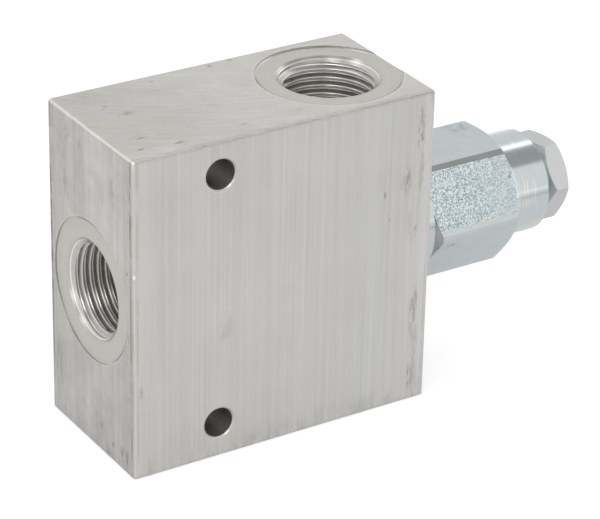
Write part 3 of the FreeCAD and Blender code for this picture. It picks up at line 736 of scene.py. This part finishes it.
def zinc_plate(looks):
    """Bright zinc on the cartridge body and its cap, etched on the hexagon's front flat."""

    def build(shader):
        vector, x, y, z = shader.place()
        turn = (z - axis_z).angle_from(0 - y)
        hexed = x.ramp(hex_start, hex_start + 0.3 * mm)
        hexed = hexed * x.ramp(body_high.x + 0.05 * mm, body_high.x)
        etched = etched_flat(turn, round_axis(y, z, 0.0, axis_z)) * hexed
        # Painted shade: the hexagon below its axis is drawn 4.5 % darker.
        painted_lower_hex_shade = turn.ramp(math.radians(-4), math.radians(-5)) * hexed
        barrel_start = cap_high.x - barrel_length
        barrel = x.ramp(barrel_start - 0.3 * mm, barrel_start)
        barrel_step_highlight = x.band(barrel_start + 0.3 * mm, 0.15 * mm, 0.2 * mm)
        flange_highlight = x.ramp(body_high.x - 0.1 * mm, body_high.x + 0.05 * mm)
        flange_highlight = flange_highlight * x.ramp(barrel_start + 0.1 * mm, barrel_start - 0.2 * mm)

        fine = shader.noise(vector, 1 / looks.grain, 2, 0.6)
        coarse = shader.noise(vector, 0.35 / looks.grain, 2, 0.5)
        veins = (fine + (coarse - 0.5) * 0.22).ramp(0.42, 0.58)
        fade = x.ramp(body_high.x - 14 * mm, body_high.x - 1 * mm, 1.0, 0.55)
        veil = shader.noise(vector, 70, 3, 0.6)
        streaks = shader.noise(shader.stretched(vector, (90, 420, 420)), 1, 3)
        blots = shader.noise(vector, 330, 4, 0.65)
        hue = shader.noise(shader.stretched(vector, (60, 160, 160), (2, 5, 1)), 1, 2)
        hoops = shader.noise(shader.joined(x * 1700, turn * 0.6), 1, 3, 0.7)
        lathe = shader.noise(shader.joined(x * 3300, turn * 2.5), 1, 3, 0.6)

        tone = 1 - hexed * 0.05 - painted_lower_hex_shade * 0.045 + (veil - 0.5) * 0.12
        tone = tone + (streaks - 0.5) * hexed * 0.1 + (blots - 0.5) * hexed * 0.12
        polished = near(shader, vector, (43.5, -9.6, 44.6), (4.5, 3.0, 0.9))
        etched_tone = 0.96 + (veins - 0.55) * 0.56 * fade
        etched_tone = etched_tone + (1.06 - etched_tone) * polished
        tone = tone + (etched_tone - tone) * etched
        sunlit = turn.band(math.radians(12), math.radians(10), math.radians(9)) * barrel
        sunlit = sunlit * x.ramp(cap_high.x - 3 * mm, cap_high.x - 5 * mm)
        lit = sunlit * hoops.ramp(0.44, 0.62)
        tone = tone * (1 + (lathe - 0.5) * barrel * 0.26 + lit * 0.16)
        # Painted highlights: a ring where the barrel starts is drawn 12 % lighter, and the flange
        # before it 22 % lighter.
        tone = tone * (1 + barrel_step_highlight * 0.12 + flange_highlight * 0.22)
        scale = near(shader, vector, (56.0, 4.6, 48.5), (4.5, 3.6, 3.0))
        scale = scale * shader.noise(vector, 620, 4, 0.75).ramp(0.4, 0.62)
        dent = near(shader, vector, (59.3, -11.3, 43.0), (0.35, 0.7, 0.9))
        smudge = near(shader, vector, (42.0, -14.5, 31.8), (4.2, 1.6, 1.1))
        smudge = smudge * shader.noise(vector, 420, 4, 0.7).ramp(0.42, 0.58)
        tone = tone * (1 - scale * 0.32) * (1 - dent * 0.5) * (1 - smudge * 0.44)

        warm = (hue.ramp(0.5, 0.75) * 0.6).most(lit)
        tint = shader.mix(warm, looks.zinc, looks.straw)
        tint = shader.mix(etched * (1 - veins) * fade, tint, looks.etch)
        relief = (fine + coarse * 0.6) * etched * fade + lathe * barrel * 0.08
        relief = relief + streaks * hexed * 0.06 + blots * hexed * 0.05
        return {
            "Base Color": shader.tinted(tint, tone),
            "Roughness": 0.15 + veil * 0.08 + etched * 0.1 + (streaks - 0.5) * hexed * 0.1,
            "Normal": shader.bump(relief - dent, 0.09 * mm),
        }

    return finish_material("zinc_plate", build, Metallic=1.0)


def satin_zinc(looks):
    """Duller zinc on the locknut and the bonded washer."""

    def build(shader):
        vector = shader.coordinates()
        mottled = shader.noise(vector, 260, 3, 0.6)
        fine = shader.noise(vector, 1800, 2, 0.5)
        dots = shader.cells(vector, 420).ramp(0.06, 0.02) * mottled.ramp(0.55, 0.62)
        tone = (1 + (mottled - 0.5) * 0.07) * (1 - dots * 0.35)
        warm = mottled.ramp(0.4, 0.7) * 0.5
        base = shader.mix(warm, looks.nut, looks.warm_nut)
        return {
            "Base Color": shader.tinted(base, tone),
            "Roughness": 0.3 + mottled * 0.12,
            "Normal": shader.bump(fine + mottled, 0.012 * mm),
        }

    return finish_material("satin_zinc", build, Metallic=1.0)


def ground_steel(looks):
    """Hardened and ground steel, with fine marks round the axis."""

    def build(shader):
        vector = shader.coordinates()
        marks = shader.noise(shader.stretched(vector, (9000, 300, 300)), 1, 2)
        cloud = shader.noise(vector, 200, 2)
        return {
            "Base Color": shader.tinted(looks.steel, 0.94 + marks * 0.12),
            "Roughness": 0.2 + cloud * 0.12,
            "Normal": shader.bump(marks, 0.004 * mm),
        }

    return finish_material("ground_steel", build, Metallic=1.0)


def spring_wire(looks):
    """Drawn spring wire, dark grey and lightly oiled."""

    def build(shader):
        vector = shader.coordinates()
        drawn = shader.noise(shader.stretched(vector, (900, 400, 400)), 1, 3)
        return {
            "Base Color": shader.tinted(looks.wire, 0.85 + drawn * 0.3),
            "Roughness": 0.3 + drawn * 0.15,
            "Normal": shader.bump(drawn, 0.008 * mm),
        }

    return finish_material("spring_wire", build, Metallic=1.0)


def black_steel(looks, threads):
    """Black oxide on the adjusting screw, with its thread."""

    def build(shader):
        vector, x, y, z = shader.place()
        cloud = shader.noise(vector, 420, 3)
        turn = (z - axis_z).angle_from(y)
        across = round_axis(y, z, 0.0, axis_z)
        ridge = abs((x / threads.screw_pitch + turn / (2 * math.pi)).fraction() - 0.5)
        ridge = ridge * across.ramp(3.6 * mm, 4.2 * mm)
        ridge = ridge * x.ramp(screw_high.x - 0.1 * mm, screw_high.x - 0.4 * mm)
        worn = ridge.ramp(0.36, 0.48) * 0.8
        return {
            "Base Color": shader.tinted(looks.oxide, 0.8 + cloud * 0.4 + worn),
            "Roughness": 0.34 + cloud * 0.16 - worn * 0.1,
            "Normal": shader.bump(ridge + cloud * 0.02, 0.8 * mm),
        }

    return finish_material("black_oxide_steel", build, Metallic=0.85)


def moulded(name, tint, rough, depth):
    """Moulded or skived seal material with a slight mottle."""

    def build(shader):
        skin = shader.noise(shader.coordinates(), 900, 3)
        return {
            "Base Color": shader.tinted(tint, 0.92 + skin * 0.16),
            "Roughness": rough + skin * 0.12,
            "Normal": shader.bump(skin, depth),
        }

    return finish_material(name, build, Metallic=0.0)


def thread_outline(pitch, crest, root):
    """One pitch of a 55 degree thread with round crests and roots, from root to root."""
    curve = curve_share * pitch
    inward = math.copysign(1.0, crest - root)
    bowl = [(curve * math.sin(a), curve * (1 - math.cos(a))) for a in arc_points]
    rise = abs(crest - root)
    points = [(along, root + inward * up) for along, up in bowl[3:]]
    points += [(pitch / 2 + along, root + inward * (rise - up)) for along, up in bowl]
    points += [(pitch + along, root + inward * up) for along, up in bowl[:4]]
    return points


def cut_off(bm, place, outward):
    """Trim the mesh flat at a place, and return the edges of the cut."""
    made = bmesh.ops.bisect_plane(
        bm, geom=bm.verts[:] + bm.edges[:] + bm.faces[:], dist=1e-7,
        plane_co=place, plane_no=outward, clear_outer=True,
    )["geom_cut"]
    return [g for g in made if isinstance(g, bmesh.types.BMEdge)]


def helical_wall(bm, pitch, crest, root, length, steps, start):
    """Sweep the thread's outline up its helix, and trim it square at both ends."""
    verts = [bm.verts.new((radius, 0, along - 2 * pitch))
             for along, radius in thread_outline(pitch, crest, root)]
    edges = [bm.edges.new(pair) for pair in zip(verts, verts[1:])]
    turns = math.ceil(length / pitch) + 3
    bmesh.ops.spin(
        bm, geom=verts + edges, cent=(0, 0, 0), axis=(0, 0, 1), angle=2 * math.pi,
        dvec=(0, 0, pitch / steps), steps=steps,
    )
    first_turn = bm.verts[:] + bm.edges[:] + bm.faces[:]
    for number in range(1, turns):
        made = bmesh.ops.duplicate(bm, geom=first_turn)["geom"]
        copied = [g for g in made if isinstance(g, bmesh.types.BMVert)]
        bmesh.ops.translate(bm, vec=(0, 0, pitch * number), verts=copied)
    bmesh.ops.remove_doubles(bm, verts=bm.verts, dist=2e-6)
    bmesh.ops.rotate(bm, matrix=Matrix.Rotation(start, 3, "Z"), verts=bm.verts)
    for level, away in ((0.0, -1), (length, 1)):
        cut_off(bm, (0, 0, level), (0, 0, away))


def reshape_radius(bm, limit):
    """Move each point in or out to the radius that limit(along, radius) gives."""
    for vert in bm.verts:
        radius = math.hypot(vert.co.x, vert.co.y)
        share = limit(vert.co.z, radius) / radius
        vert.co.x *= share
        vert.co.y *= share


def open_rim(bm, level):
    """The boundary edges that lie at this height."""
    return [e for e in bm.edges if e.is_boundary
            and all(abs(v.co.z - level) < 1e-6 for v in e.verts)]


def widened_rim(bm, rim, radius):
    """Extrude a rim flat to another radius."""
    made = bmesh.ops.extrude_edge_only(bm, edges=rim)["geom"]
    for vert in (g for g in made if isinstance(g, bmesh.types.BMVert)):
        share = radius / math.hypot(vert.co.x, vert.co.y)
        vert.co.x *= share
        vert.co.y *= share
    return [g for g in made if isinstance(g, bmesh.types.BMEdge) and g.is_boundary]


def smooth_piece(bm, name, material):
    """Turn a bmesh into an object that is smooth apart from its sharp edges."""
    mesh = bpy.data.meshes.new(name)
    bm.to_mesh(mesh)
    bm.free()
    mesh.shade_smooth()
    mesh.set_sharp_from_angle(angle=sharp_angle)
    mesh.materials.append(material)
    return linked(name, mesh)


def port_thread(name, mount, pitch, sizes, material):
    """The internal thread of a port, with its lead-in chamfer and fading last turns."""
    wall = mount["dims"]["r_mm"] * mm - bore_gap
    length = mount["dims"]["length_mm"] * mm - end_gap
    root = wall - root_wall
    crest = wall - depth_share * pitch
    bm = bmesh.new()
    helical_wall(bm, pitch, crest, root, length, sizes.turn_steps, sizes.start)

    def limit(along, radius):
        lead = wall - along
        fade = crest + (length - along) * (root - crest) / (1.5 * pitch)
        return max(min(radius, max(fade, crest)), lead, crest)

    reshape_radius(bm, limit)
    mouth = open_rim(bm, 0.0)
    inner_end = widened_rim(bm, open_rim(bm, length), wall)
    bmesh.ops.bridge_loops(bm, edges=mouth + inner_end)
    inward = -Vector(mount["axis"])
    turn = Vector((0, 0, 1)).rotation_difference(inward).to_matrix().to_4x4()
    place = Matrix.Translation(Vector(mount["pos_m"])) @ turn
    bmesh.ops.transform(bm, matrix=place, verts=bm.verts)
    bmesh.ops.recalc_face_normals(bm, faces=bm.faces)
    thread = smooth_piece(bm, name, material)
    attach(thread, "block_assembly")


def squeezed_coil(name, node, still_x, moved_x, material):
    """The turns of a CAD spring between two places along X, cut flat at the first."""
    bm = bmesh.new()
    bm.from_mesh(nodes[node].data)
    bmesh.ops.remove_doubles(bm, verts=bm.verts, dist=1e-6)
    outward = math.copysign(1.0, still_x - moved_x)
    rim = cut_off(bm, (still_x, 0, 0), (outward, 0, 0))
    bmesh.ops.holes_fill(bm, edges=rim)
    coil = smooth_piece(bm, name, material)
    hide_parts(node)
    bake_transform(coil)


class VALVE_OT_block(bpy.types.Operator):
    """Give the block its drawn, sawn and machined surfaces"""

    bl_idname = "valve.block"
    bl_label = "Block"

    def execute(self, context):
        dress(drawn_aluminium(context.scene.valve_block_looks), "valve_block")
        return {"FINISHED"}


class VALVE_OT_port_threads(bpy.types.Operator):
    """Cut the threads of the load, valve and pilot ports"""

    bl_idname = "valve.port_threads"
    bl_label = "Port threads"

    def execute(self, context):
        sizes = context.scene.valve_threads
        material = cut_aluminium(context.scene.valve_block_looks)
        for name, pitch in (
            ("load_port", sizes.port_pitch), ("valve_port", sizes.port_pitch),
            ("pilot_port", sizes.pilot_pitch),
        ):
            port_thread(name + "_thread", mounts[name], pitch, sizes, material)
        return {"FINISHED"}


class VALVE_OT_cartridge(bpy.types.Operator):
    """Plate the cartridge body, its cap, the locknut and the washer, and blacken the screw"""

    bl_idname = "valve.cartridge"
    bl_label = "Cartridge"

    def execute(self, context):
        looks = context.scene.valve_plating
        dress(zinc_plate(looks), "cartridge_body", "spring_cap")
        dress(satin_zinc(looks), "locknut", "sealing_washer")
        dress(black_steel(looks, context.scene.valve_threads), "adjusting_screw")
        return {"FINISHED"}


class VALVE_OT_inner_pieces(bpy.types.Operator):
    """Finish the steel pieces, springs and seals inside the cartridge"""

    bl_idname = "valve.inner_pieces"
    bl_label = "Inner pieces"

    def execute(self, context):
        looks = context.scene.valve_plating
        slots = {row["node"]: row["material_slot"] for row in frame["record"]["subparts"]}
        finishes = {
            "ground_steel": ground_steel(looks),
            "spring_steel": spring_wire(looks),
            "nitrile_rubber": moulded("nitrile_rubber", looks.rubber, 0.42, 0.01 * mm),
            "ptfe": moulded("ptfe", looks.ptfe, 0.38, 0.006 * mm),
        }
        for node, slot in slots.items():
            if slot in finishes:
                dress(finishes[slot], node)
        wire = finishes["spring_steel"]
        low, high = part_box("check_spring")
        squeezed_coil("check_coil", "check_spring", low.x, high.x, wire)
        low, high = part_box("main_spring")
        middle = (low.x + high.x) / 2
        squeezed_coil("main_coil_inner", "main_spring", middle, low.x, wire)
        squeezed_coil("main_coil_outer", "main_spring", middle, high.x, wire)
        return {"FINISHED"}


def studio_floor():
    """A wide pale floor that shows white to the camera and keeps the valve's shadow."""
    bm = bmesh.new()
    bmesh.ops.create_grid(bm, x_segments=1, y_segments=1, size=3.0)
    bmesh.ops.translate(bm, vec=(0, 0, cad_low.z - 0.1 * mm), verts=bm.verts)
    mesh = bpy.data.meshes.new("floor")
    bm.to_mesh(mesh)
    bm.free()
    floor = linked("floor", mesh)
    material = bpy.data.materials.new("pale_floor")
    material.use_nodes = True
    shader = Shader(material.node_tree)
    surface = material.node_tree.nodes["Principled BSDF"]
    surface.inputs["Base Color"].default_value = (0.5, 0.5, 0.5, 1.0)
    surface.inputs["Roughness"].default_value = 0.9
    surface.inputs["Specular IOR Level"].default_value = 0.0
    surface.inputs["Emission Color"].default_value = (1, 1, 1, 1)
    seen = shader.node("ShaderNodeLightPath", output="Is Camera Ray")
    mirrored = shader.node("ShaderNodeLightPath", output="Is Glossy Ray")
    x, y = shader.parts(shader.coordinates())[:2]
    # Painted light: the floor glows for glossy rays, less in a strip at y = -148 mm and more
    # beyond x = 200 mm, to shape the metal's reflections.
    reflected_dark_strip = y.band(middle=-148 * mm, half=6 * mm, soft=6 * mm)
    beyond = x.ramp(200 * mm, 500 * mm) * 0.5
    glow = seen * 0.62 + mirrored * (0.36 + beyond - reflected_dark_strip * 0.75)
    material.node_tree.links.new(glow.socket, surface.inputs["Emission Strength"])
    mesh.materials.append(material)


def studio_world(sizes):
    """White backdrop; a soft overhead strip and a darker ceiling show in the metal."""
    world = bpy.data.worlds.new("studio")
    world.use_nodes = True
    bpy.context.scene.world = world
    shader = Shader(world.node_tree)
    background = world.node_tree.nodes["Background"]
    background.inputs["Color"].default_value = (1, 1, 1, 1)
    x, y, z = shader.parts(shader.node("ShaderNodeTexCoord", output="Generated"))
    # Degrees from the horizon on the side of -Y, over the top, to the one behind
    lift = z.angle_from(0 - y) * (180 / math.pi)
    ceiling = lift.band(middle=81, half=22, soft=5)
    strip = lift.band(middle=109, half=5, soft=3) * abs(x).ramp(0.97, 0.85)
    behind = lift.ramp(116, 124)
    sine, cosine = math.sin(sizes.azimuth), math.cos(sizes.azimuth)
    forward = x * sine - y * cosine
    sideways = abs(x * cosine + y * sine)
    boxes = sideways.band(middle=0.58, half=0.06, soft=0.06) * z.ramp(0.05, 0.15)
    boxes = boxes * forward.band(middle=0.6, half=0.25, soft=0.1)
    gap = sideways.ramp(0.36, 0.22) * forward.ramp(0, 0.2) * z.ramp(-0.1, 0.05)
    light = 0.97 - ceiling * 0.53 - behind * 0.12 + strip * 0.95
    light = light + x.ramp(0.8, 0.97) * 0.5 + boxes * 0.8
    light = light + gap * (0.3 - light)
    seen = shader.node("ShaderNodeLightPath", output="Is Camera Ray")
    light = light * (1 - seen) + seen
    world.node_tree.links.new(light.socket, background.inputs["Strength"])


def studio_lamp(sizes):
    """A square soft lamp aimed at the middle of the valve."""
    lamp = bpy.data.lights.new("key", "AREA")
    lamp.shape = "SQUARE"
    lamp.size = sizes.lamp_size
    lamp.energy = sizes.lamp_power
    holder = linked("key", lamp)
    holder.location = sizes.lamp_place
    aim = (cad_low + cad_high) / 2 - Vector(sizes.lamp_place)
    holder.rotation_mode = "QUATERNION"
    holder.rotation_quaternion = aim.to_track_quat("-Z", "Y")
    holder.visible_camera = False


def studio_camera(sizes):
    """The camera at the photograph's place and angle."""
    data = bpy.data.cameras.new("camera")
    data.lens = sizes.lens
    data.sensor_width = 36
    data.clip_start = 0.01
    data.clip_end = 20
    back = Vector((
        math.sin(sizes.azimuth) * math.cos(sizes.elevation),
        -math.cos(sizes.azimuth) * math.cos(sizes.elevation),
        math.sin(sizes.elevation),
    ))
    level = Vector((0, 0, 1)).cross(back).normalized()
    upright = back.cross(level)
    right = level * math.cos(sizes.roll) + upright * math.sin(sizes.roll)
    up = upright * math.cos(sizes.roll) - level * math.sin(sizes.roll)
    turn = Matrix((right, up, back)).transposed().to_4x4()
    camera = linked("camera", data)
    camera.matrix_world = Matrix.Translation(Vector(sizes.camera_place)) @ turn
    bpy.context.scene.camera = camera


class VALVE_OT_studio(bpy.types.Operator):
    """Add the floor, the light and the camera"""

    bl_idname = "valve.studio"
    bl_label = "Studio"

    def execute(self, context):
        sizes = context.scene.valve_studio
        studio_floor()
        studio_world(sizes)
        studio_lamp(sizes)
        studio_camera(sizes)
        context.scene.view_settings.view_transform = "Standard"
        return {"FINISHED"}


class VALVE_PT_sidebar(bpy.types.Panel):
    """Lists the valve's pieces and their sizes"""

    bl_label = "Counterbalance valve"
    bl_idname = "VALVE_PT_sidebar"
    bl_space_type = "VIEW_3D"
    bl_region_type = "UI"
    bl_category = "Valve"

    def draw(self, context):
        for operator in operators:
            self.layout.operator(operator.bl_idname)
        for name in settings:
            group = getattr(context.scene, name)
            for prop in group.bl_rna.properties:
                if prop.identifier not in ("rna_type", "name"):
                    self.layout.prop(group, prop.identifier)


operators = [
    VALVE_OT_block, VALVE_OT_port_threads, VALVE_OT_cartridge, VALVE_OT_inner_pieces,
    VALVE_OT_studio,
]
settings = {
    "valve_block_looks": BlockSettings, "valve_threads": ThreadSettings,
    "valve_plating": PlatingSettings, "valve_studio": StudioSettings,
}


def register():
    for group in [*settings.values(), *operators, VALVE_PT_sidebar]:
        bpy.utils.register_class(group)
    for name, group in settings.items():
        setattr(bpy.types.Scene, name, bpy.props.PointerProperty(type=group))


def unregister():
    for name in settings:
        delattr(bpy.types.Scene, name)
    for group in [VALVE_PT_sidebar, *reversed(operators), *settings.values()]:
        bpy.utils.unregister_class(group)


def main():
    """Register the valve's steps, then dress the valve and light it."""
    register()
    for operator in operators:
        section, name = operator.bl_idname.split(".")
        getattr(getattr(bpy.ops, section), name)()


if __name__ == "__main__":
    main()
